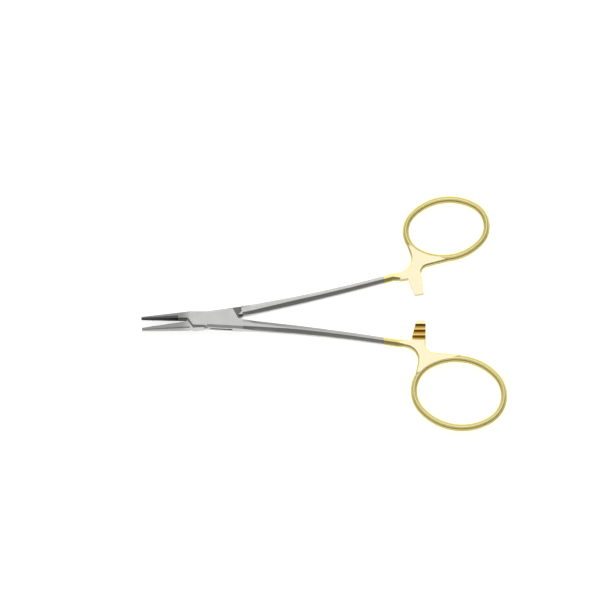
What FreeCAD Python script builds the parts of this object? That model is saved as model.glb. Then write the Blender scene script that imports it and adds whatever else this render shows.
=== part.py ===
import FreeCAD, Part
import math
import os
from collections import namedtuple

# Surgical needle holder with a box lock, finger rings, a ratchet and carbide jaw inserts.
#
# Both halves are modelled in one forging frame, closed: x runs from the jaws to the rings,
# the pivot is at x = 0 and y = 0, the jaw lies on the +y side and the shank on the -y side,
# z = 0 is the middle of the thickness and the ratchet teeth face +z. The tongue half is then
# turned over about x, opened about the pivot, and all of it is lifted until the box's
# underside lies at z = 0. Lengths are in millimetres, angles in degrees.

V = FreeCAD.Vector

OPENING_SHOWN = 7.4

# Jaws
JAW_LENGTH = 23.5
JAW_ROOT_OVERLAP = 0.7
JAW_ROOT_DEPTH = 2.62
JAW_TIP_DEPTH = 0.95
JAW_TIP_WIDTH = 2.0
JAW_BACK_RADIUS_ROOT = 0.55
JAW_BACK_RADIUS_TIP = 0.45
JAW_TIP_ROUNDING = 1.1
JAW_NOSE_SHARE = 0.25
JAW_TIP_BOW = 0.16
JAW_TIP_MARGIN = 0.095

# Carbide inserts, from the throat to the tip
INSERT_REAR_X = -10.6
INSERT_REAR_DEPTH = 1.15
INSERT_TIP_DEPTH = 0.55
INSERT_FACE_GAP = 0.03
FACE_RELIEF = 0.08
SERRATION_PITCH = 0.62
SERRATION_DEPTH = 0.16
SERRATION_LIFT = 0.001
SERRATION_ANGLE = 45.0

# Box lock. Plan points are those of the closed lock, with the box half's jaw on the +y side.
BOX_THICKNESS = 4.6
BOX_HALF_WIDTH = 2.7
BOX_EDGE_RADIUS = 0.3
BOX_END_X = 12.0
RIM_BEVEL = (0.25, 0.4)
TONGUE_RIM_BEVEL = (0.45, 1.1)
FRONT_BEVEL = (0.35, 0.15)
BELLY_BEVEL = (1.0, 0.35)
LOCK_CLEARANCE = 0.1
THROAT_RADIUS = 7.7
THROAT_HEIGHT = 0.25
CHEEK_FRONT_X = -7.5
CHEEK_HEEL = (-5.6, -2.6)
CHEEK_BELLY = (0.5, -3.15)
CHEEK_TOP_X = 2.8
CHEEK_REAR = (8.4, 3.74)
CHEEK_REAR_RADIUS = 10.36
CHEEK_REAR_ANGLE = 0.5
RIM_START = (-5.0, -3.12)
RIM_END = (-1.9, -3.12)
RIM_THICKNESS = 0.3
SHOULDER_X = 11.85
SHOULDER_Y = 1.1
TONGUE_THICKNESS = 1.6
TONGUE_SIDE_CLEARANCE = 0.05
TONGUE_FRONT_ANGLE = 11.0
SLOT_EXTRA_ANGLE = 0.5
TONGUE_FRONT = [(-7.1, 2.05), (-4.8, 3.0)]
TONGUE_REAR = [(8.3, -2.85), (10.5, -0.85)]
SLOT_END_X = 18.5
RECESS_START = 1.0
RECESS_END_X = 23.0
PIN_DIAMETER = 2.6
PIN_CLEARANCE = 0.03

# Shanks
SHANK_START_X = 17.0
SHANK_END_X = 62.0
SHANK_BOW = 0.4
SHANK_WIDTH_START = 3.45
ROOT_EXTRA_WIDTH = 0.1
ROOT_STEP = 0.04
ROOT_OVERLAP = 1.0
SHANK_WIDTH_MIDDLE = 2.72
SHANK_WIDTH_END = 2.38
SHANK_THICKNESS_START = 4.1
SHANK_RIDGE_WIDTH = 0.2
SHANK_FLANK_SHARE = 0.42
FACET_FULLNESS = 0.53
SHANK_STATIONS = (0.0, 0.3, 0.5, 0.75, 1.0)
RIDGE_START_X = 30.0
RIDGE_END_X = 66.0

# Finger rings, webs and ratchet arms
HANDLE_THICKNESS = 3.4
RING_STROKE_END = 2.2
RING_STROKE_SIDE = 2.2
RING_EDGE_RADIUS = 1.0
RING_RIM_FACETS = 3
OVAL_END_SHARE = 0.72
WEB_EDGE_BEVEL = 0.45
WEB_ROOT_X = 69.0
WEB_OVERLAP = 0.5
WEB_RING_ANGLES = (95.0, 130.0, 162.0)
WEB_RING_SHARE = 0.97
RING_INNER_SHARE = 0.3
WEB_CORNER_RISE = 1.3
WEB_CORNER_RADIUS = 2.8
WEB_THROAT_RUN = 5.3
WEB_THROAT_DROP = 0.8
WEB_THROAT_RADIUS = 5.0
ARM_OUTER_X = 76.0
ARM_TIP_WIDTH = 3.3
ARM_LEAN = 0.25
ARM_OVERLAP = 0.1
ARM_ROOT_DEPTH = 0.5
ARM_TIP_RADIUS = 0.5
TOOTH_PITCH = 2.07
TOOTH_DEPTH = 0.8
TOOTH_CREST = 0.4
TOOTH_COUNT = 3
TOOTH_PASSING_GAP = 0.06
FIRST_TOOTH = 1.35

# What differs between the two halves: how far the shank starts and ends beside the closing
# line, the web's two edges there, how far the ring's hole starts behind the shank's end and
# outside it, the hole's half sizes and tilt, and how far the ratchet arm passes the line.
Side = namedtuple(
    "Side",
    "shank_start shank_end web_inner web_outer hole_back hole_out ring_long ring_short ring_tilt tip_past",
)
BOX_SIDE = Side(
    shank_start=2.38,
    shank_end=7.76,
    web_inner=7.4,
    web_outer=9.69,
    hole_back=10.86,
    hole_out=7.44,
    ring_long=14.74,
    ring_short=11.3,
    ring_tilt=-9.3,
    tip_past=-0.05,
)
TONGUE_SIDE = Side(
    shank_start=1.67,
    shank_end=6.37,
    web_inner=5.5,
    web_outer=8.2,
    hole_back=11.65,
    hole_out=6.19,
    ring_long=13.2,
    ring_short=9.46,
    ring_tilt=-1.9,
    tip_past=0.71,
)

JAW_ROOT_X = JAW_ROOT_OVERLAP - THROAT_RADIUS
HALF_BOX = BOX_THICKNESS / 2
HALF_HANDLE = HANDLE_THICKNESS / 2
BIG = 60.0


def prism(points, z_low, z_high):
    """A polygon in plan, given a height from z_low to z_high."""
    wire = Part.makePolygon([V(x, y, z_low) for x, y in points + points[:1]])
    return Part.Face(wire).extrude(V(0, 0, z_high - z_low))


def outline_prism(edges, z_low, z_high):
    """A closed plan outline of lines and arcs, given a height from z_low to z_high."""
    wire = Part.Wire(Part.__sortEdges__(edges))
    face = Part.Face(wire)
    face.translate(V(0, 0, z_low))
    return face.extrude(V(0, 0, z_high - z_low))


def line(a, b):
    return Part.LineSegment(V(*a, 0), V(*b, 0)).toShape()


def bowed(a, b, rise):
    """An arc from a to b in plan that stands off its chord by rise, to the left if positive."""
    ax, ay = a
    bx, by = b
    length = math.hypot(bx - ax, by - ay)
    mid_x = (ax + bx) / 2 - (by - ay) / length * rise
    mid_y = (ay + by) / 2 + (bx - ax) / length * rise
    return Part.Arc(V(ax, ay, 0), V(mid_x, mid_y, 0), V(bx, by, 0)).toShape()


def on_circle(radius, angle):
    return radius * math.cos(math.radians(angle)), radius * math.sin(math.radians(angle))


def blend(a, b, share):
    return a + (b - a) * share


# Shank

def shank_share(x):
    return (x - SHANK_START_X) / (SHANK_END_X - SHANK_START_X)


def shank_middle(side, x):
    """The y of the shank's centre line, a shallow bow away from the other shank."""
    share = shank_share(x)
    return -blend(side.shank_start, side.shank_end, share) + 4 * SHANK_BOW * share * (1 - share)


def shank_width(x):
    """Width in plan: a taper that eases off towards the ring."""
    share = shank_share(x)
    bulge = 4 * SHANK_WIDTH_MIDDLE - 2 * (SHANK_WIDTH_START + SHANK_WIDTH_END)
    return blend(SHANK_WIDTH_START, SHANK_WIDTH_END, share) + bulge * share * (1 - share)


def shank_thickness(x):
    return blend(SHANK_THICKNESS_START, HANDLE_THICKNESS, shank_share(x))


def shank_section(x, y_mid, width, thickness, land, flank):
    """A section across the shank at x, with a land above and below and flat flanks.

    Between land and flank lies a nearly flat facet.
    """
    half_w = width / 2
    half_t = thickness / 2
    half_l = land / 2
    half_f = flank / 2
    through_y = blend(half_l, half_w, FACET_FULLNESS)
    through_z = blend(half_f, half_t, FACET_FULLNESS)
    edges = []
    for sy, sz in ((1, 1), (-1, 1), (-1, -1), (1, -1)):
        foot = V(x, y_mid + sy * half_w, sz * half_f)
        top = V(x, y_mid + sy * half_l, sz * half_t)
        through = V(x, y_mid + sy * through_y, sz * through_z)
        if sy == sz:
            edges.append(Part.Arc(foot, through, top))
            edges.append(Part.LineSegment(top, V(x, y_mid - sy * half_l, sz * half_t)))
        else:
            edges.append(Part.Arc(top, through, foot))
            edges.append(Part.LineSegment(foot, V(x, y_mid + sy * half_w, -sz * half_f)))
    return Part.Wire([e.toShape() for e in edges])


def shank_land(x):
    """Width of the flat on top: most of the shank at the box, only a ridge further on."""
    share = min(1.0, (x - BOX_END_X) / (RIDGE_START_X - BOX_END_X))
    return blend(SHANK_WIDTH_START - 2 * BELLY_BEVEL[0], SHANK_RIDGE_WIDTH, max(0.0, share))


def plain_shank_section(side, x):
    thickness = shank_thickness(x)
    flank = thickness * SHANK_FLANK_SHARE
    return shank_section(x, shank_middle(side, x), shank_width(x), thickness, shank_land(x), flank)


def shank(side):
    """The faceted shank, from its flat root behind the box to the flat web at the ring."""
    root_x = BOX_END_X - ROOT_OVERLAP
    root_width = SHANK_WIDTH_START + ROOT_EXTRA_WIDTH - 2 * ROOT_STEP
    root_thickness = BOX_THICKNESS - 2 * ROOT_STEP
    root_land = root_width - 2 * BELLY_BEVEL[0]
    root_flank = root_thickness - 2 * BELLY_BEVEL[1]
    root_y = shank_middle(side, root_x)
    stations = [shank_section(root_x, root_y, root_width, root_thickness, root_land, root_flank)]
    for share in SHANK_STATIONS:
        x = blend(SHANK_START_X, SHANK_END_X, share)
        stations.append(plain_shank_section(side, x))
    stations.append(plain_shank_section(side, RIDGE_END_X))
    flat_width = side.web_outer - side.web_inner
    flat_y = -(side.web_outer + side.web_inner) / 2
    flat_land = flat_width - 2 * WEB_EDGE_BEVEL
    flat_flank = HANDLE_THICKNESS - 2 * WEB_EDGE_BEVEL
    flat = shank_section(WEB_ROOT_X, flat_y, flat_width, HANDLE_THICKNESS, flat_land, flat_flank)
    return Part.makeLoft(stations + [flat], True, True)


# Finger ring, web and ratchet arm

def ring_centre(side):
    x = SHANK_END_X + side.hole_back + side.ring_long
    return x, -side.shank_end - side.hole_out - side.ring_short


def oval(long_axis, short_axis, grow, z):
    """Four arcs that run into each other, two tight and two flat, all moved outwards by grow."""
    end_radius = short_axis * (1 - OVAL_END_SHARE * (1 - short_axis / long_axis))
    end_centre = long_axis - end_radius
    side_radius = (end_centre**2 + short_axis**2 - end_radius**2) / (2 * (short_axis - end_radius))
    turn = math.atan2(side_radius - short_axis, end_centre)
    x = end_centre + (end_radius + grow) * math.cos(turn)
    y = (end_radius + grow) * math.sin(turn)
    far_x = long_axis + grow
    far_y = short_axis + grow
    joints = [V(x, -y, z), V(x, y, z), V(-x, y, z), V(-x, -y, z)]
    middles = [V(far_x, 0, z), V(0, far_y, z), V(-far_x, 0, z), V(0, -far_y, z)]
    arcs = [Part.Arc(a, m, b).toShape() for a, m, b in zip(joints, middles, joints[1:] + joints[:1])]
    return Part.Wire(arcs)


def in_ring_place(side, shape):
    shape.rotate(V(0, 0, 0), V(0, 0, 1), side.ring_tilt)
    shape.translate(V(*ring_centre(side), 0))
    return shape


def round_rim():
    """Heights and insets that take a wall from the lower to the upper face with both rims rounded."""
    rim = []
    for step in range(RING_RIM_FACETS + 1):
        angle = math.radians(90 * step / RING_RIM_FACETS)
        height = HALF_HANDLE - RING_EDGE_RADIUS * (1 - math.sin(angle))
        rim.append((height, RING_EDGE_RADIUS * (1 - math.cos(angle))))
    return [(-height, inset) for height, inset in reversed(rim)] + rim


def finger_ring(side):
    """An oval ring, rounded inside and outside, that leaves a narrow land above and below."""
    long_outer = side.ring_long + RING_STROKE_END
    short_outer = side.ring_short + RING_STROKE_SIDE
    body = [oval(long_outer, short_outer, -inset, z) for z, inset in round_rim()]
    hole = [oval(side.ring_long, side.ring_short, inset, z) for z, inset in round_rim()]
    ring = Part.makeLoft(body, True, True).cut(Part.makeLoft(hole, True, True))
    return in_ring_place(side, ring)


def ring_point(side, angle, share):
    """A point near the ring's stroke at an angle from its long axis, share 0 inside to 1 outside."""
    long_axis = side.ring_long + share * RING_STROKE_END
    short_axis = side.ring_short + share * RING_STROKE_SIDE
    u = long_axis * math.cos(math.radians(angle))
    v = short_axis * math.sin(math.radians(angle))
    tilt = math.radians(side.ring_tilt)
    x, y = ring_centre(side)
    return x + u * math.cos(tilt) - v * math.sin(tilt), y + u * math.sin(tilt) + v * math.cos(tilt)


def arm_left_x(side, y):
    """The x of the arm's edge on the box's side, which leans back towards the web."""
    return ARM_OUTER_X - ARM_TIP_WIDTH - ARM_LEAN * (side.tip_past - y)


def web(side):
    """The flat plate between shank, ratchet arm and ring, with a round throat at each side."""
    root_x = WEB_ROOT_X - WEB_OVERLAP
    arm_y = -side.web_inner - ARM_OVERLAP
    ring_top = ring_point(side, WEB_RING_ANGLES[0], WEB_RING_SHARE)
    corner = (ARM_OUTER_X, ring_top[1] + WEB_CORNER_RISE)
    throat = (WEB_ROOT_X + WEB_THROAT_RUN, -side.web_outer - WEB_THROAT_DROP)
    outline = [
        (root_x, -side.web_inner),
        (arm_left_x(side, arm_y), arm_y),
        (ARM_OUTER_X, ARM_OVERLAP - side.shank_end),
        corner,
        ring_top,
        ring_point(side, WEB_RING_ANGLES[1], RING_INNER_SHARE),
        ring_point(side, WEB_RING_ANGLES[2], WEB_RING_SHARE),
        throat,
        (root_x, -side.web_outer),
    ]
    plate = prism(outline, -HALF_HANDLE, HALF_HANDLE)
    plate = plate.makeFillet(WEB_CORNER_RADIUS, [upright_edge(plate, corner)])
    plate = plate.makeFillet(WEB_THROAT_RADIUS, [upright_edge(plate, throat)])
    rims = [e for e in plate.Edges if is_curved_rim(e)]
    plate = plate.makeChamfer(WEB_EDGE_BEVEL, rims)
    ring_middle = oval(side.ring_long + RING_STROKE_END / 2, side.ring_short + RING_STROKE_SIDE / 2, 0, -BIG)
    hole = Part.Face(ring_middle).extrude(V(0, 0, 2 * BIG))
    return plate.cut(in_ring_place(side, hole))


def upright_edge(shape, point):
    """The vertical edge of a prism that stands at a plan point."""
    return min(shape.Edges, key=lambda e: math.dist(e.CenterOfMass, (*point, 0)))


def is_curved_rim(edge):
    """True for a top or bottom edge of the web that lies along one of its two throats."""
    at_face = abs(abs(edge.CenterOfMass.z) - HALF_HANDLE) < 1e-6
    return at_face and edge.Curve.TypeId == "Part::GeomCircle"


def ratchet_arm(side):
    """The arm that reaches over the closing line, half as thick as the handle, teeth up."""
    top_z = -TOOTH_PASSING_GAP / 2
    base_y = -side.shank_end - ARM_ROOT_DEPTH
    tip_y = side.tip_past
    corners = [
        (arm_left_x(side, base_y), base_y),
        (ARM_OUTER_X, base_y),
        (ARM_OUTER_X, tip_y),
        (ARM_OUTER_X - ARM_TIP_WIDTH, tip_y),
    ]
    arm = prism(corners, -HALF_HANDLE, top_z)
    tips = [e for e in arm.Edges if is_upright(e) and e.CenterOfMass.y > (base_y + tip_y) / 2]
    arm = arm.makeFillet(ARM_TIP_RADIUS, tips)
    for number in range(TOOTH_COUNT):
        arm = arm.cut(tooth_groove(tip_y - FIRST_TOOTH - number * TOOTH_PITCH, top_z))
    return arm


def is_upright(edge):
    box = edge.BoundBox
    return box.ZLength > 0.5 and box.XLength + box.YLength < 0.01


def tooth_groove(steep_y, top_z):
    """The cut behind one tooth: a steep face towards the shank's root, then a ramp."""
    near_x = ARM_OUTER_X - 3 * ARM_TIP_WIDTH
    ramp_end = steep_y - (TOOTH_PITCH - TOOTH_CREST)
    corners = [
        V(near_x, steep_y, top_z + TOOTH_DEPTH),
        V(near_x, steep_y, top_z - TOOTH_DEPTH),
        V(near_x, ramp_end, top_z),
        V(near_x, ramp_end, top_z + TOOTH_DEPTH),
    ]
    face = Part.Face(Part.makePolygon(corners + corners[:1]))
    return face.extrude(V(4 * ARM_TIP_WIDTH, 0, 0))


def handle(side):
    return finger_ring(side).fuse([web(side), ratchet_arm(side)])


# Jaw and insert

def jaw_section(x, depth, width, radius):
    """A jaw section at x: flat towards the other jaw, rounded at both corners of its back."""
    half = width / 2
    low = V(x, 0, -half)
    high = V(x, 0, half)
    flank_high = V(x, depth - radius, half)
    back_high = V(x, depth, half - radius)
    back_low = V(x, depth, radius - half)
    flank_low = V(x, depth - radius, -half)
    bend = radius * (1 - math.sqrt(0.5))
    edges = [
        Part.LineSegment(low, high),
        Part.LineSegment(high, flank_high),
        Part.Arc(flank_high, V(x, depth - bend, half - bend), back_high),
        Part.LineSegment(back_high, back_low),
        Part.Arc(back_low, V(x, depth - bend, bend - half), flank_low),
        Part.LineSegment(flank_low, low),
    ]
    return Part.Wire([e.toShape() for e in edges])


def jaw_blank():
    """The whole jaw with its insert still part of it, tapered both ways to a rounded tip."""
    root = jaw_section(JAW_ROOT_X, JAW_ROOT_DEPTH, BOX_THICKNESS, JAW_BACK_RADIUS_ROOT)
    tip = jaw_section(-JAW_LENGTH, JAW_TIP_DEPTH, JAW_TIP_WIDTH, JAW_BACK_RADIUS_TIP)
    jaw = Part.makeLoft([root, tip], True, True)
    return jaw.common(tip_envelope())


def tip_envelope():
    """All that lies behind a jaw tip that is round from the side and blunt in plan."""
    taper = (BOX_THICKNESS - JAW_TIP_WIDTH) / 2 / (JAW_LENGTH + JAW_ROOT_X)
    slant = math.hypot(1, taper)
    radius = JAW_TIP_WIDTH / 2 / (slant - taper)
    centre_x = radius - JAW_LENGTH
    round_end = Part.makeCylinder(radius, 2 * BOX_THICKNESS, V(centre_x, -BOX_THICKNESS, 0), V(0, 1, 0))
    behind_x = centre_x - radius * taper / slant
    behind = prism([(behind_x, -BIG), (BIG, -BIG), (BIG, BIG), (behind_x, BIG)], -BIG, BIG)
    nose = (-JAW_LENGTH, JAW_TIP_DEPTH * JAW_NOSE_SHARE)
    back = (-JAW_LENGTH + JAW_TIP_ROUNDING, JAW_TIP_DEPTH + JAW_TIP_MARGIN)
    edges = [
        bowed(nose, back, JAW_TIP_BOW),
        line(back, (BIG, BIG)),
        line((BIG, BIG), (BIG, -BIG)),
        line((BIG, -BIG), (-JAW_LENGTH, -BIG)),
        line((-JAW_LENGTH, -BIG), nose),
    ]
    return round_end.fuse(behind).common(outline_prism(edges, -BIG, BIG))


def insert_room():
    """The wedge of the jaw that the insert fills, from its step to beyond the tip."""
    slope = (INSERT_REAR_DEPTH - INSERT_TIP_DEPTH) / (JAW_LENGTH + INSERT_REAR_X)
    far_x = -JAW_LENGTH - JAW_TIP_WIDTH
    far_depth = INSERT_TIP_DEPTH - JAW_TIP_WIDTH * slope
    corners = [(INSERT_REAR_X, -BIG), (INSERT_REAR_X, INSERT_REAR_DEPTH), (far_x, far_depth), (far_x, -BIG)]
    return prism(corners, -BIG, BIG)


def face_relief():
    """The thin layer that is taken off the jaw's steel behind the insert, which never touches."""
    corners = [(INSERT_REAR_X, -BIG), (0, -BIG), (0, FACE_RELIEF), (INSERT_REAR_X, FACE_RELIEF)]
    return prism(corners, -BIG, BIG)


def serration_cuts(angle):
    """Parallel V grooves across the jaw face, turned by angle in that face."""
    face_y = INSERT_FACE_GAP / 2
    half = SERRATION_PITCH / 2
    reach = JAW_LENGTH
    grooves = []
    count = int(reach / SERRATION_PITCH)
    for number in range(-count, count + 1):
        across = number * SERRATION_PITCH
        corners = [
            V(across - half, face_y - SERRATION_LIFT, -reach),
            V(across, face_y + SERRATION_DEPTH, -reach),
            V(across + half, face_y - SERRATION_LIFT, -reach),
        ]
        face = Part.Face(Part.makePolygon(corners + corners[:1]))
        groove = face.extrude(V(0, 0, 2 * reach))
        groove.rotate(V(0, 0, 0), V(0, 1, 0), angle)
        groove.translate(V((INSERT_REAR_X - JAW_LENGTH) / 2, 0, 0))
        if groove.BoundBox.XMin < INSERT_REAR_X and groove.BoundBox.XMax > -JAW_LENGTH:
            grooves.append(groove)
    return Part.makeCompound(grooves)


def jaw_insert():
    """The carbide plate of one jaw, its face cut into small pyramids."""
    plate = jaw_blank().common(insert_room())
    face_y = INSERT_FACE_GAP / 2
    plate = plate.cut(prism([(-BIG, -BIG), (BIG, -BIG), (BIG, face_y), (-BIG, face_y)], -BIG, BIG))
    for angle in (SERRATION_ANGLE, -SERRATION_ANGLE):
        plate = plate.cut(serration_cuts(angle))
    return plate.Solids[0]


# Box lock

def root_edges(side, x):
    """The y of the shank's inner and outer edge at x, beside the box."""
    middle = shank_middle(side, x)
    half = (SHANK_WIDTH_START + ROOT_EXTRA_WIDTH) / 2
    return middle + half, middle - half


def cheek_line():
    """The plan corners of the cheeks' front and lower edge, from the throat to the rim's end."""
    return [
        (CHEEK_FRONT_X, THROAT_HEIGHT),
        CHEEK_HEEL,
        (RIM_END[0] + LOCK_CLEARANCE, RIM_END[1] + LOCK_CLEARANCE + RIM_THICKNESS),
    ]


def edge_bevel(a, b, size):
    """Wedges that bevel the upper and lower rim along a plan line with the metal on its right."""
    width, depth = size
    along = V(b[0] - a[0], b[1] - a[1], 0).normalize()
    outward = V(-along.y, along.x, 0)
    start = V(*a, 0) - along * width
    section = [(-2 * width, HALF_BOX + depth), (width, HALF_BOX - 2 * depth), (width, HALF_BOX + depth)]
    wedges = []
    for face in (1, -1):
        corners = [start + outward * offset + V(0, 0, face * z) for offset, z in section]
        wedge = Part.Face(Part.makePolygon(corners + corners[:1]))
        wedges.append(wedge.extrude(along * (math.dist(a, b) + 2 * width)))
    return wedges


def jaw_depth(x):
    return blend(JAW_ROOT_DEPTH, JAW_TIP_DEPTH, (x - JAW_ROOT_X) / (-JAW_LENGTH - JAW_ROOT_X))


def tapered_front(block):
    """The block with its front thinned like the jaw, so that the jaw's faces run on into it."""
    corners = [
        V(-JAW_LENGTH, -BIG, JAW_TIP_WIDTH / 2),
        V(JAW_ROOT_X, -BIG, HALF_BOX),
        V(BIG, -BIG, HALF_BOX),
        V(BIG, -BIG, -HALF_BOX),
        V(JAW_ROOT_X, -BIG, -HALF_BOX),
        V(-JAW_LENGTH, -BIG, -JAW_TIP_WIDTH / 2),
    ]
    room = Part.Face(Part.makePolygon(corners + corners[:1])).extrude(V(0, 2 * BIG, 0))
    return block.common(room)


def box_block():
    """The box half between jaw and shank, bevelled along its outline."""
    inner_y, outer_y = root_edges(BOX_SIDE, BOX_END_X)
    front, heel, rim_end = cheek_line()
    jaw_root = (JAW_ROOT_X, BOX_HALF_WIDTH)
    top = (CHEEK_TOP_X, BOX_HALF_WIDTH)
    rear_foot = on_circle(CHEEK_REAR_RADIUS, CHEEK_REAR_ANGLE)
    root_outer = (BOX_END_X, outer_y)
    corners = [
        (-THROAT_RADIUS, THROAT_HEIGHT),
        (-THROAT_RADIUS, jaw_depth(-THROAT_RADIUS) - BOX_EDGE_RADIUS),
        jaw_root,
        top,
        CHEEK_REAR,
        rear_foot,
        (BOX_END_X, inner_y),
        root_outer,
        CHEEK_BELLY,
        rim_end,
        heel,
        front,
    ]
    block = tapered_front(prism(corners, -HALF_BOX, HALF_BOX))
    wedges = edge_bevel(jaw_root, top, RIM_BEVEL) + edge_bevel(top, CHEEK_REAR, RIM_BEVEL)
    wedges += edge_bevel(root_outer, CHEEK_BELLY, BELLY_BEVEL) + edge_bevel(CHEEK_BELLY, rim_end, FRONT_BEVEL)
    wedges += edge_bevel(rim_end, heel, FRONT_BEVEL) + edge_bevel(heel, front, FRONT_BEVEL)
    return block.cut(wedges)


def tongue_block():
    """The tongue half between jaw and shank, in the forging frame."""
    inner_y, outer_y = root_edges(TONGUE_SIDE, BOX_END_X)
    radius = THROAT_RADIUS - LOCK_CLEARANCE
    front = on_circle(radius, 180 + TONGUE_FRONT_ANGLE)
    through = on_circle(radius, 180 + TONGUE_FRONT_ANGLE / 2)
    jaw_foot = (-radius, jaw_depth(-radius) - BOX_EDGE_RADIUS)
    rim_end, rim_start = turned_over([RIM_END, RIM_START])
    corners = [front] + turned_over(TONGUE_FRONT)
    corners += [(BOX_END_X, outer_y), (BOX_END_X, inner_y)]
    corners += turned_over(reversed(TONGUE_REAR))
    corners += [rim_end, rim_start, jaw_foot, (-radius, 0)]
    edges = [line(a, b) for a, b in zip(corners, corners[1:])]
    edges.append(Part.Arc(V(-radius, 0, 0), V(*through, 0), V(*front, 0)).toShape())
    block = tapered_front(outline_prism(edges, -HALF_BOX, HALF_BOX))
    wedges = edge_bevel(jaw_foot, rim_start, TONGUE_RIM_BEVEL)
    return block.cut(wedges + edge_bevel(rim_start, rim_end, TONGUE_RIM_BEVEL))


def turned_over(points):
    """Plan points seen from the other face: y changes sign."""
    return [(x, -y) for x, y in points]


def throat_notch():
    """The step behind the jaw that takes the tongue half's root when the jaws close."""
    corners = [(-THROAT_RADIUS, -BIG), (0, -BIG), (0, THROAT_HEIGHT), (-THROAT_RADIUS, THROAT_HEIGHT)]
    return prism(corners, -BIG, BIG)


def slot():
    """The slot through the box, as far as the tongue reaches when the jaws are closed."""
    c = LOCK_CLEARANCE
    half = TONGUE_THICKNESS / 2 + TONGUE_SIDE_CLEARANCE
    top = on_circle(THROAT_RADIUS, 180 - TONGUE_FRONT_ANGLE - SLOT_EXTRA_ANGLE)
    through = on_circle(THROAT_RADIUS, 180 - TONGUE_FRONT_ANGLE / 2)
    exit_y = -root_edges(TONGUE_SIDE, SLOT_END_X)[0] - c
    corners = [top] + [(x - c / 2, y + c) for x, y in TONGUE_FRONT]
    corners += [(TONGUE_FRONT[1][0] - c / 2, BIG), (SLOT_END_X, BIG), (SLOT_END_X, exit_y)]
    corners += [(x + c, y - c) for x, y in reversed(TONGUE_REAR)]
    corners += [(TONGUE_REAR[0][0] + c, -BIG), (-THROAT_RADIUS, -BIG), (-THROAT_RADIUS, 0)]
    edges = [line(a, b) for a, b in zip(corners, corners[1:])]
    edges.append(Part.Arc(V(-THROAT_RADIUS, 0, 0), V(*through, 0), V(*top, 0)).toShape())
    return outline_prism(edges, -half, half)


def cheek_recesses():
    """The room beside the tongue, on both faces of the tongue half, that the cheeks fill."""
    c = LOCK_CLEARANCE
    near_x = -THROAT_RADIUS - RECESS_START
    corners = [(near_x, THROAT_HEIGHT - c)]
    corners += [(x - c, y - c) for x, y in cheek_line()]
    corners += [(RIM_END[0], -BIG), (RECESS_END_X, -BIG)]
    corners += [(RECESS_END_X, root_edges(BOX_SIDE, RECESS_END_X)[0])]
    corners += [(x, root_edges(BOX_SIDE, x)[0] + 2 * c) for x in (SHANK_START_X, BOX_END_X)]
    corners += [on_circle(CHEEK_REAR_RADIUS + 3 * c, CHEEK_REAR_ANGLE), (SHOULDER_X, SHOULDER_Y)]
    corners += [(SHOULDER_X, BIG), (near_x, BIG)]
    plan = turned_over(corners)
    half = TONGUE_THICKNESS / 2
    return [prism(plan, half, BIG), prism(plan, -BIG, -half)]


def bore(diameter):
    return Part.makeCylinder(diameter / 2, BIG, V(0, 0, -BIG / 2))


def box_half():
    jaw = jaw_blank().cut([insert_room(), face_relief(), throat_notch()])
    body = jaw.fuse([box_block(), shank(BOX_SIDE), handle(BOX_SIDE)])
    body = body.cut(slot()).cut(bore(PIN_DIAMETER))
    return body.Solids[0]


def tongue_half():
    jaw = jaw_blank().cut([insert_room(), face_relief()])
    body = jaw.fuse([tongue_block(), shank(TONGUE_SIDE), handle(TONGUE_SIDE)])
    body = body.cut(cheek_recesses()).cut(bore(PIN_DIAMETER + 2 * PIN_CLEARANCE))
    return body.Solids[0]


def lock_pin():
    """The pin of the box lock, riveted and ground flush with both cheeks."""
    return Part.makeCylinder(PIN_DIAMETER / 2, BOX_THICKNESS, V(0, 0, -HALF_BOX))


# Assembly

def place_box_side(shape):
    shape.translate(V(0, 0, HALF_BOX))
    return shape


def place_tongue_side(shape):
    shape.rotate(V(0, 0, 0), V(1, 0, 0), 180)
    shape.rotate(V(0, 0, 0), V(0, 0, 1), OPENING_SHOWN)
    shape.translate(V(0, 0, HALF_BOX))
    return shape


def main():
    nodes = {
        "box_half": place_box_side(box_half()),
        "tongue_half": place_tongue_side(tongue_half()),
        "lock_pin": place_box_side(lock_pin()),
        "upper_jaw_insert": place_box_side(jaw_insert()),
        "lower_jaw_insert": place_tongue_side(jaw_insert()),
    }
    os.makedirs("parts", exist_ok=True)
    for name, shape in nodes.items():
        shape.exportStep("parts/" + name + ".step")
        print(name, len(shape.Solids), round(shape.Volume, 1), shape.isValid())


main()
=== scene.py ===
import math

import bpy
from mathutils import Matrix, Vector


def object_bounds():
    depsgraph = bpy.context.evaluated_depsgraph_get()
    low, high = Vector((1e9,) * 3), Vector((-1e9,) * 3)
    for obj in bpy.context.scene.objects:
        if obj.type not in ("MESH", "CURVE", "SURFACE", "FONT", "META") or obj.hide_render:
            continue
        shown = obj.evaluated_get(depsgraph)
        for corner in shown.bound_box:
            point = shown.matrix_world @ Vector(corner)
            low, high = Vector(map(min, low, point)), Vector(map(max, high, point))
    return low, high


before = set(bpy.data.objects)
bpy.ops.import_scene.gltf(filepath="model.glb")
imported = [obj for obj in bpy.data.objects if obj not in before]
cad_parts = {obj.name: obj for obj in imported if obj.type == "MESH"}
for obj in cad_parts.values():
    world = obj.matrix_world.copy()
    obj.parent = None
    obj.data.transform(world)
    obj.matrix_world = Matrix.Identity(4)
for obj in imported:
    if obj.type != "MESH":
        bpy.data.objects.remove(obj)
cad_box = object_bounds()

# Needle holder with satin steel shanks and box, carbide jaw inserts and gold-plated rings.
# Lengths are in metres. The instrument lies on a white table and is seen from above, a little
# from the side of the lower ring, so that the walls on that side show.

MM = 0.001

# Photograph: its size, the pixel of the lock pin's axis, and how much one pixel covers
PHOTO_PIXELS = 600
PIN_PIXEL_X = 208.5
PIN_PIXEL_Y = 319.9
PIXEL = 0.35 * MM

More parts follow.
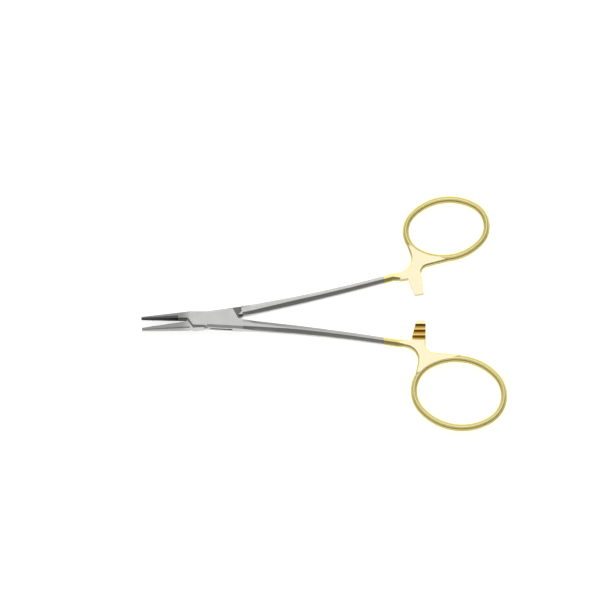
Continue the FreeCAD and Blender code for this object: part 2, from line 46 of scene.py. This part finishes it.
# Camera
LENS = 800.0
SENSOR = 36.0
TILT = math.radians(15.0)

# The instrument: its thickness at the box, and the angle that the tongue half is opened by
BOX_THICKNESS = 4.6 * MM
OPENING = math.radians(7.4)

# Gold plating: where it starts, and how far its edge is blurred and wanders
GOLD_START_X = 61.4 * MM
GOLD_EDGE_SOFTNESS = 0.12 * MM
GOLD_EDGE_WANDER = 0.6 * MM

# Duller, darker jaws, the box half's darkened further as painted shade: where they start to differ
# from the box, and where they do fully
JAW_START_X = -6.2 * MM
JAW_FULL_X = -9.5 * MM

# Steel face between the upper insert and the cheek, painted near-black as shade from the throat
JAW_FACE_Y = 0.3 * MM
CHEEK_FRONT_X = -7.4 * MM

# Recess in the tongue half, behind the box, painted dark as shade
RECESS_START_X = 7.0 * MM
RECESS_END_X = 12.1 * MM
RECESS_TOP_Z = 4.2 * MM

# Ratchet teeth of the box half's arm, whose crests get painted reflection and grooves painted
# shade, and how much farther the tongue half's arm reaches
ARM_START_X = 71.5 * MM
GROOVE_TOP_Z = 2.22 * MM
GROOVE_START_Y = -7.2 * MM
GROOVE_END_Y = -1.3 * MM
TONGUE_ARM_EXTRA = 0.76 * MM

# Depth of the inserts' serrated side, and the blur at the edge of any region above
SERRATED_EDGE = 0.3 * MM
REGION_BLUR = 0.1 * MM

# How much of a surface faces straight up or down, from wall to flat, which sets the gold's painted
# reflection tones
GOLD_WALL_TO_SLOPE = (0.2, 0.55)
GOLD_SLOPE_TO_CREST = (0.85, 0.97)
GOLD_CREST_TO_FLAT = (0.999, 0.9999)
TOOTHED_FACING = (0.05, 0.3)

# Roughness
STEEL_ROUGHNESS = 0.36
GOLD_ROUGHNESS = 0.3
JAW_EXTRA_ROUGHNESS = 0.18

# Colours
STEEL = (0.60, 0.60, 0.585)
# The box half's jaw steel, darkened further as painted shade
UPPER_JAW_PAINTED_SHADE = (0.43, 0.43, 0.43)
LOWER_JAW_STEEL = (0.48, 0.48, 0.47)
# Painted shade in the recess behind the box
RECESS_PAINTED_SHADE = (0.17, 0.17, 0.165)
# Painted shade on the steel face that looks into the throat
THROAT_PAINTED_SHADE = (0.07, 0.07, 0.068)
# Gold tones by facing are painted reflection: a pale highlight on flats, saturated rims and slopes,
# painted shade on walls
GOLD_FLAT_PAINTED_HIGHLIGHT = (0.94, 0.85, 0.58)
GOLD_RIM_PAINTED_REFLECTION = (0.84, 0.73, 0.27)
GOLD_SLOPE_PAINTED_SHEEN = (1.0, 0.87, 0.27)
GOLD_SIDE_PAINTED_SHADE = (0.56, 0.46, 0.15)
# Painted reflection on the ratchet crests and painted shade in its grooves
GOLD_CREST_PAINTED_REFLECTION = (0.90, 0.60, 0.20)
GOLD_GROOVE_PAINTED_SHADE = (0.74, 0.45, 0.08)
CARBIDE = (0.055, 0.055, 0.055)
# The upper insert's flank, painted dark as shade; the lower insert's ground flank keeps its own
# tone
UPPER_CARBIDE_PAINTED_SHADE = (0.12, 0.12, 0.12)
CARBIDE_GROUND = (0.42, 0.42, 0.41)
PIN_STEEL = (0.57, 0.57, 0.56)
TABLE_WHITE = (0.9, 0.9, 0.9)
TABLE_SHADE = (0.88, 0.88, 0.88)

# Lights
TABLE_GLOW = 0.7
SOFTBOX_PLACE = (0.03, 0.1, 1.6)
SOFTBOX_AIM = (0.03, 0.0, 0.0)
SOFTBOX_SIZE = 1.4
SOFTBOX_POWER = 3.9


class Look:
    """A procedural material, built node by node round one Principled shader."""

    def __init__(self, name):
        self.material = bpy.data.materials.new(name)
        self.material.use_nodes = True
        self.tree = self.material.node_tree
        self.shader = self.tree.nodes["Principled BSDF"]
        coords = self.tree.nodes.new("ShaderNodeTexCoord")
        self.position = coords.outputs["Object"]
        self.normal = coords.outputs["Normal"]
        self.shader.inputs["Metallic"].default_value = 1.0

    def put(self, socket, value):
        if isinstance(value, bpy.types.NodeSocket):
            self.tree.links.new(value, socket)
        else:
            socket.default_value = value

    def math(self, operation, a, b=0.0):
        node = self.tree.nodes.new("ShaderNodeMath")
        node.operation = operation
        self.put(node.inputs[0], a)
        self.put(node.inputs[1], b)
        return node.outputs[0]

    def product(self, first, *others):
        """Several shares multiplied."""
        for other in others:
            first = self.math("MULTIPLY", first, other)
        return first

    def axis(self, vector, letter):
        node = self.tree.nodes.new("ShaderNodeSeparateXYZ")
        self.put(node.inputs[0], vector)
        return node.outputs[letter]

    def along(self, direction):
        """Distance of a point along a direction."""
        node = self.tree.nodes.new("ShaderNodeVectorMath")
        node.operation = "DOT_PRODUCT"
        self.put(node.inputs[0], self.position)
        node.inputs[1].default_value = direction
        return node.outputs["Value"]

    def ramp(self, value, start, end, low=0.0, high=1.0):
        """Value from start to end, turned into low to high and held there beyond."""
        node = self.tree.nodes.new("ShaderNodeMapRange")
        self.put(node.inputs["Value"], value)
        node.inputs["From Min"].default_value = start
        node.inputs["From Max"].default_value = end
        node.inputs["To Min"].default_value = low
        node.inputs["To Max"].default_value = high
        return node.outputs["Result"]

    def noise(self, scale, stretch=(1, 1, 1), detail=3.0):
        mapping = self.tree.nodes.new("ShaderNodeMapping")
        self.put(mapping.inputs["Vector"], self.position)
        mapping.inputs["Scale"].default_value = stretch
        node = self.tree.nodes.new("ShaderNodeTexNoise")
        self.put(node.inputs["Vector"], mapping.outputs[0])
        node.inputs["Scale"].default_value = scale
        node.inputs["Detail"].default_value = detail
        return node.outputs["Fac"]

    def mix(self, share, a, b):
        """Colour a, turned into colour b as share goes from 0 to 1."""
        node = self.tree.nodes.new("ShaderNodeMix")
        node.data_type = "RGBA"
        self.put(node.inputs["Factor"], share)
        for socket, value in ((node.inputs[6], a), (node.inputs[7], b)):
            self.put(socket, value if isinstance(value, bpy.types.NodeSocket) else (*value, 1.0))
        return node.outputs[2]

    def dimmed(self, colour, factor):
        node = self.tree.nodes.new("ShaderNodeVectorMath")
        node.operation = "SCALE"
        self.put(node.inputs[0], colour)
        self.put(node.inputs["Scale"], factor)
        return node.outputs["Vector"]

    def bump(self, height, strength, distance):
        node = self.tree.nodes.new("ShaderNodeBump")
        self.put(node.inputs["Height"], height)
        node.inputs["Strength"].default_value = strength
        node.inputs["Distance"].default_value = distance
        self.put(self.shader.inputs["Normal"], node.outputs[0])

    def finish(self, colour, roughness):
        self.put(self.shader.inputs["Base Color"], colour)
        self.put(self.shader.inputs["Roughness"], roughness)
        return self.material


def throat_painted_shade(look, steel, x, y, z):
    """The plain steel face between the insert and the cheek, painted near-black as the shade it
    gets from the dark throat.
    """
    share = look.product(
        look.ramp(y, JAW_FACE_Y, 0.8 * JAW_FACE_Y),
        look.ramp(y, -JAW_FACE_Y, 0.0),
        look.ramp(x, CHEEK_FRONT_X, 1.02 * CHEEK_FRONT_X),
    )
    return look.mix(share, steel, THROAT_PAINTED_SHADE)


def recess_painted_shade(look, steel, x, y, z):
    """The recess behind the box that takes the cheeks, painted dark as the shade that falls in it.
    """
    share = look.product(
        look.ramp(x, RECESS_START_X, RECESS_START_X + REGION_BLUR),
        look.ramp(x, RECESS_END_X, RECESS_END_X - REGION_BLUR),
        look.ramp(z, RECESS_TOP_Z, RECESS_TOP_Z - REGION_BLUR),
    )
    return look.mix(share, steel, RECESS_PAINTED_SHADE)


def ratchet_painted_shade(look, gold, x, y, z, upward):
    """The toothed side of an arm, painted where gold reflects gold: painted shade in dark grooves
    between painted warm reflections on the crests.
    """
    among_teeth = look.product(
        look.ramp(x, ARM_START_X, ARM_START_X + REGION_BLUR),
        look.ramp(y, GROOVE_START_Y, GROOVE_START_Y + REGION_BLUR),
        look.ramp(y, GROOVE_END_Y, GROOVE_END_Y - REGION_BLUR),
        look.ramp(upward, *TOOTHED_FACING),
    )
    below = look.ramp(z, GROOVE_TOP_Z, GROOVE_TOP_Z - REGION_BLUR)
    return look.mix(among_teeth, gold, look.mix(below, GOLD_CREST_PAINTED_REFLECTION, GOLD_GROOVE_PAINTED_SHADE))


def gold_painted_reflections(look, x, y, z, turned):
    """Gold painted by the way it faces, as painted reflection: dark walls, bright slopes and rims,
    pale flats, with painted shade and reflection on the ratchet teeth.

    A turned half lies upside down and opened, so its teeth are found in its own frame."""
    upward = look.axis(look.normal, "Z")
    facing = look.math("ABSOLUTE", upward)
    gold = look.mix(look.ramp(facing, *GOLD_WALL_TO_SLOPE), GOLD_SIDE_PAINTED_SHADE, GOLD_SLOPE_PAINTED_SHEEN)
    gold = look.mix(look.ramp(facing, *GOLD_SLOPE_TO_CREST), gold, GOLD_RIM_PAINTED_REFLECTION)
    gold = look.mix(look.ramp(facing, *GOLD_CREST_TO_FLAT), gold, GOLD_FLAT_PAINTED_HIGHLIGHT)
    if not turned:
        return ratchet_painted_shade(look, gold, x, y, z, upward)
    sine, cosine = math.sin(OPENING), math.cos(OPENING)
    arm_x = look.along((cosine, sine, 0))
    arm_y = look.math("SUBTRACT", look.along((sine, -cosine, 0)), TONGUE_ARM_EXTRA)
    arm_z = look.math("SUBTRACT", BOX_THICKNESS, z)
    return ratchet_painted_shade(look, gold, arm_x, arm_y, arm_z, look.math("MULTIPLY", upward, -1.0))


def half_look(name, jaw_tone_and_shade, steel_painted_shade, turned):
    """Satin steel with a darker, duller jaw, darkest on the box half as painted shade, painted
    shade in the throat or the recess, and gold plating from the rings to the shank's end, toned by
    facing as painted reflection.
    """
    look = Look(name)
    x = look.axis(look.position, "X")
    y = look.axis(look.position, "Y")
    z = look.axis(look.position, "Z")
    grain = look.noise(2600, (0.25, 1.0, 1.0), 4.0)
    cloud = look.noise(220)
    in_jaw = look.ramp(x, JAW_START_X, JAW_FULL_X)
    steel = look.mix(in_jaw, STEEL, jaw_tone_and_shade)
    steel = steel_painted_shade(look, steel, x, y, z)
    steel = look.dimmed(steel, look.ramp(cloud, 0.3, 0.7, 0.95, 1.05))
    wander = look.math("MULTIPLY", look.math("SUBTRACT", cloud, 0.5), GOLD_EDGE_WANDER)
    edge = look.math("ADD", x, wander)
    plated = look.ramp(edge, GOLD_START_X - GOLD_EDGE_SOFTNESS, GOLD_START_X + GOLD_EDGE_SOFTNESS)
    look.bump(grain, 0.25, 0.004 * MM)
    roughness = look.ramp(plated, 0.0, 1.0, STEEL_ROUGHNESS, GOLD_ROUGHNESS)
    roughness = look.math("ADD", roughness, look.ramp(grain, 0.3, 0.7, -0.03, 0.03))
    roughness = look.math("ADD", roughness, look.math("MULTIPLY", in_jaw, JAW_EXTRA_ROUGHNESS))
    return look.finish(look.mix(plated, steel, gold_painted_reflections(look, x, y, z, turned)), roughness)


def pin_look():
    look = Look("ground_pin")
    grain = look.noise(3000)
    look.bump(grain, 0.2, 0.003 * MM)
    return look.finish(look.mix(grain, STEEL, PIN_STEEL), look.ramp(grain, 0.2, 0.8, 0.3, 0.4))


def insert_look(name, flank_tone_and_shade, depth_direction):
    """Sintered carbide: a dark serrated face, and flanks ground down with the jaw's own, the upper
    insert's flank painted dark as shade.

    The depth direction points from the jaws' meeting line into the insert's own jaw."""
    look = Look(name)
    grain = look.noise(9000)
    depth = look.along(depth_direction)
    face = look.ramp(depth, SERRATED_EDGE, 0.6 * SERRATED_EDGE)
    flank = look.mix(grain, [0.9 * c for c in flank_tone_and_shade], [1.1 * c for c in flank_tone_and_shade])
    look.bump(grain, 0.3, 0.003 * MM)
    return look.finish(look.mix(face, flank, CARBIDE), look.ramp(grain, 0.2, 0.8, 0.38, 0.5))


def dress():
    lower_depth = (math.sin(OPENING), -math.cos(OPENING), 0)
    looks = {
        "box_half": half_look("plated_steel_box_half", UPPER_JAW_PAINTED_SHADE, throat_painted_shade, False),
        "tongue_half": half_look("plated_steel_tongue_half", LOWER_JAW_STEEL, recess_painted_shade, True),
        "lock_pin": pin_look(),
        "upper_jaw_insert": insert_look("carbide_upper", UPPER_CARBIDE_PAINTED_SHADE, (0, 1, 0)),
        "lower_jaw_insert": insert_look("carbide_lower", CARBIDE_GROUND, lower_depth),
    }
    for node, material in looks.items():
        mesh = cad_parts[node].data
        mesh.materials.clear()
        mesh.materials.append(material)


def table():
    """A white table top that glows a little, so that contact shadows stay faint."""
    bpy.ops.mesh.primitive_plane_add(size=6.0, location=(0, 0, 0))
    floor = bpy.context.object
    floor.name = "table_top"
    look = Look("white_table")
    shader = look.shader
    shader.inputs["Metallic"].default_value = 0.0
    shader.inputs["Emission Color"].default_value = (1.0, 1.0, 1.0, 1.0)
    shader.inputs["Emission Strength"].default_value = TABLE_GLOW
    grain = look.noise(60)
    floor.data.materials.append(look.finish(look.mix(grain, TABLE_WHITE, TABLE_SHADE), 0.7))


def surroundings():
    """A dim ceiling that falls off to the sides, and a bright far side beyond the upper ring."""
    world = bpy.data.worlds.new("studio")
    bpy.context.scene.world = world
    world.use_nodes = True
    tree = world.node_tree
    background = tree.nodes["Background"]
    coords = tree.nodes.new("ShaderNodeTexCoord")
    parts = tree.nodes.new("ShaderNodeSeparateXYZ")
    tree.links.new(coords.outputs["Generated"], parts.inputs[0])

    def ranged(value, start, end, low, high):
        node = tree.nodes.new("ShaderNodeMapRange")
        node.interpolation_type = "SMOOTHSTEP"
        tree.links.new(value, node.inputs["Value"])
        limits = {"From Min": start, "From Max": end, "To Min": low, "To Max": high}
        for name, number in limits.items():
            node.inputs[name].default_value = number
        return node.outputs["Result"]

    overhead = ranged(parts.outputs["Z"], 0.55, 0.95, 0.0, 0.2)
    far_side = ranged(parts.outputs["Y"], -0.2, 0.9, 0.18, 0.85)
    total = tree.nodes.new("ShaderNodeMath")
    total.operation = "MAXIMUM"
    tree.links.new(overhead, total.inputs[0])
    tree.links.new(far_side, total.inputs[1])
    tree.links.new(total.outputs[0], background.inputs["Strength"])
    background.inputs["Color"].default_value = (1.0, 1.0, 1.0, 1.0)


def soft_light(name, place, aim, size, power):
    light = bpy.data.lights.new(name, "AREA")
    light.shape = "DISK"
    light.size = size
    light.energy = power
    lamp = bpy.data.objects.new(name, light)
    lamp.location = place
    lamp.rotation_mode = "QUATERNION"
    lamp.rotation_quaternion = (Vector(aim) - Vector(place)).to_track_quat("-Z", "Y")
    bpy.context.scene.collection.objects.link(lamp)


def camera():
    """From above, leaning by TILT towards the lower ring, with the photograph's frame."""
    distance = PHOTO_PIXELS * PIXEL * LENS / SENSOR
    right = (PHOTO_PIXELS / 2 - PIN_PIXEL_X) * PIXEL
    up = (PIN_PIXEL_Y - PHOTO_PIXELS / 2) * PIXEL
    up_direction = Vector((0.0, math.cos(TILT), math.sin(TILT)))
    back = Vector((0.0, -math.sin(TILT), math.cos(TILT)))
    middle_height = (cad_box[0].z + cad_box[1].z) / 2
    data = bpy.data.cameras.new("camera")
    data.lens = LENS
    data.sensor_width = SENSOR
    data.clip_start = 0.05
    eye = bpy.data.objects.new("camera", data)
    eye.location = Vector((right, 0.0, middle_height)) + up * up_direction + distance * back
    eye.rotation_euler = (TILT, 0.0, 0.0)
    bpy.context.scene.collection.objects.link(eye)
    bpy.context.scene.camera = eye


dress()
table()
surroundings()
soft_light("ceiling_softbox", SOFTBOX_PLACE, SOFTBOX_AIM, SOFTBOX_SIZE, SOFTBOX_POWER)
camera()
bpy.context.scene.view_settings.view_transform = "Standard"
